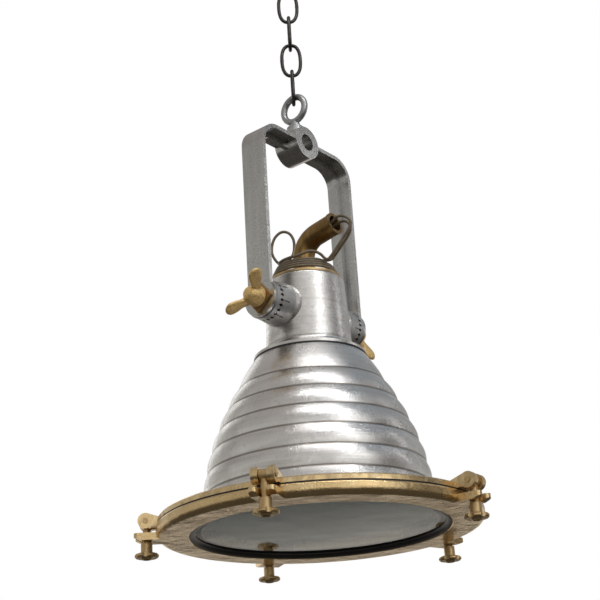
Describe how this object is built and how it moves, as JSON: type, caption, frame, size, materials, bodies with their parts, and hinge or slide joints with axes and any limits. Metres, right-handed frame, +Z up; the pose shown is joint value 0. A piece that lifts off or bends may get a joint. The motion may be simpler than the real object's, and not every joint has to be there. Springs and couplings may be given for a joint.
{
  "type": "pendant lamp",
  "caption": "Cargo pendant lamp: chain and eyebolt, cast yoke with serrated tilt joints, ribbed bell shade, clamped glass bezel.",
  "frame": {"origin": "inside crown of the top chain link, where the hook bears", "axes": "+Z up along the chain and the lamp axis, X along the tilt axis of the yoke, -Y the way the cable elbow points"},
  "size_m": [0.4362, 0.4268, 0.8112],
  "materials": {
    "iron": "black oxidised steel wire",
    "galvanised": "dull galvanised steel",
    "cast": "rough cast aluminium, grey",
    "polished": "polished aluminium, finely scratched",
    "brass": "aged brass with brown patina",
    "bronze": "dark brown patinated bronze",
    "steel": "plain machined steel",
    "rubber": "black rubber",
    "glass": "clear float glass",
    "bulb": "clear lamp glass",
    "porcelain": "glazed white porcelain",
    "lead": "aged brown insulated lead"
  },
  "bodies": {
    "top_link": {"chain_link_1": "iron"},
    "second_link": {"chain_link_2": "iron"},
    "third_link": {"chain_link_3": "iron"},
    "bottom_link": {"chain_link_4": "iron"},
    "yoke_frame": {"eyebolt": "galvanised", "yoke": "cast", "yoke_rosette_left": "cast", "yoke_rosette_right": "cast", "pivot_washer_left": "bronze", "pivot_washer_right": "bronze"},
    "head": {"pivot_stud_left": "steel", "pivot_stud_right": "steel", "stud_nuts": "steel", "head_rosette_left": "polished", "head_rosette_right": "polished", "neck_housing": "polished", "top_gasket": "rubber", "top_plate": "brass", "top_plate_screws": "brass", "cable_elbow": "bronze", "elbow_locknut": "bronze", "neck_gasket": "rubber", "neck_screws": "steel", "shade": "polished", "shade_screws": "brass", "upper_ring": "brass", "clevis_pins": "brass", "ring_gasket": "rubber", "bezel_ring": "brass", "lens_gasket": "rubber", "lens_glass": "glass", "lens_clips": "rubber", "clip_screws": "steel", "holder_bracket": "steel", "bracket_screws": "steel", "lampholder": "porcelain", "socket_shell": "brass", "socket_contact": "brass", "terminal_block": "porcelain", "holder_leads": "lead", "lead_coil": "lead", "lead_first": "lead", "lead_second": "lead"},
    "left_wing_nut": {"wing_nut_left": "brass"},
    "right_wing_nut": {"wing_nut_right": "brass"},
    "bolt_1": {"swing_bolt_1": "brass"},
    "nut_1": {"hand_nut_1": "brass"},
    "bolt_2": {"swing_bolt_2": "brass"},
    "nut_2": {"hand_nut_2": "brass"},
    "bolt_3": {"swing_bolt_3": "brass"},
    "nut_3": {"hand_nut_3": "brass"},
    "bolt_4": {"swing_bolt_4": "brass"},
    "nut_4": {"hand_nut_4": "brass"},
    "bolt_5": {"swing_bolt_5": "brass"},
    "nut_5": {"hand_nut_5": "brass"},
    "bulb": {"bulb_cap": "brass", "bulb_glass": "bulb"}
  },
  "joints": [
    {"name": "link_2_swing", "type": "hinge", "parent": "top_link", "child": "second_link", "pos_m": [0, 0, -0.0475], "axis": [0.6428, -0.766, 0], "range_deg": [-45, 45]},
    {"name": "link_3_swing", "type": "hinge", "parent": "second_link", "child": "third_link", "pos_m": [0, 0, -0.0922], "axis": [0.766, 0.6428, 0], "range_deg": [-45, 45]},
    {"name": "link_4_swing", "type": "hinge", "parent": "third_link", "child": "bottom_link", "pos_m": [0, 0, -0.1369], "axis": [-0.6428, 0.766, 0], "range_deg": [-45, 45]},
    {"name": "yoke_swing", "type": "hinge", "parent": "bottom_link", "child": "yoke_frame", "pos_m": [0, 0, -0.1836], "axis": [0.9848, 0.1736, 0], "range_deg": [-25, 25]},
    {"name": "head_tilt", "type": "hinge", "parent": "yoke_frame", "child": "head", "pos_m": [0, 0, -0.5003], "axis": [1, 0, 0], "range_deg": [-120, 120]},
    {"name": "left_wing_nut_turn", "type": "hinge", "parent": "head", "child": "left_wing_nut", "pos_m": [-0.1, 0, -0.5003], "axis": [1, 0, 0], "range_deg": [0, 540]},
    {"name": "right_wing_nut_turn", "type": "hinge", "parent": "head", "child": "right_wing_nut", "pos_m": [0.1, 0, -0.5003], "axis": [1, 0, 0], "range_deg": [0, 540]},
    {"name": "bolt_1_swing", "type": "hinge", "parent": "head", "child": "bolt_1", "pos_m": [-0.13908, 0.16, -0.7611], "axis": [0.7547, 0.6561, 0], "range_deg": [0, 105]},
    {"name": "nut_1_turn", "type": "hinge", "parent": "bolt_1", "child": "nut_1", "pos_m": [-0.13908, 0.16, -0.7949], "axis": [0, 0, 1], "range_deg": [0, 1080]},
    {"name": "bolt_2_swing", "type": "hinge", "parent": "head", "child": "bolt_2", "pos_m": [-0.19515, -0.08284, -0.7611], "axis": [-0.3907, 0.9205, 0], "range_deg": [0, 105]},
    {"name": "nut_2_turn", "type": "hinge", "parent": "bolt_2", "child": "nut_2", "pos_m": [-0.19515, -0.08284, -0.7949], "axis": [0, 0, 1], "range_deg": [0, 1080]},
    {"name": "bolt_3_swing", "type": "hinge", "parent": "head", "child": "bolt_3", "pos_m": [0.01848, -0.21119, -0.7611], "axis": [-0.9962, -0.0872, 0], "range_deg": [0, 105]},
    {"name": "nut_3_turn", "type": "hinge", "parent": "bolt_3", "child": "nut_3", "pos_m": [0.01848, -0.21119, -0.7949], "axis": [0, 0, 1], "range_deg": [0, 1080]},
    {"name": "bolt_4_swing", "type": "hinge", "parent": "head", "child": "bolt_4", "pos_m": [0.20657, -0.04769, -0.7611], "axis": [-0.225, -0.9744, 0], "range_deg": [0, 105]},
    {"name": "nut_4_turn", "type": "hinge", "parent": "bolt_4", "child": "nut_4", "pos_m": [0.20657, -0.04769, -0.7949], "axis": [0, 0, 1], "range_deg": [0, 1080]},
    {"name": "bolt_5_swing", "type": "hinge", "parent": "head", "child": "bolt_5", "pos_m": [0.10919, 0.18172, -0.7611], "axis": [0.8572, -0.515, 0], "range_deg": [0, 105]},
    {"name": "nut_5_turn", "type": "hinge", "parent": "bolt_5", "child": "nut_5", "pos_m": [0.10919, 0.18172, -0.7949], "axis": [0, 0, 1], "range_deg": [0, 1080]},
    {"name": "bulb_turn", "type": "hinge", "parent": "head", "child": "bulb", "pos_m": [0, 0, -0.5897], "axis": [0, 0, 1], "range_deg": [0, 1080]}
  ]
}
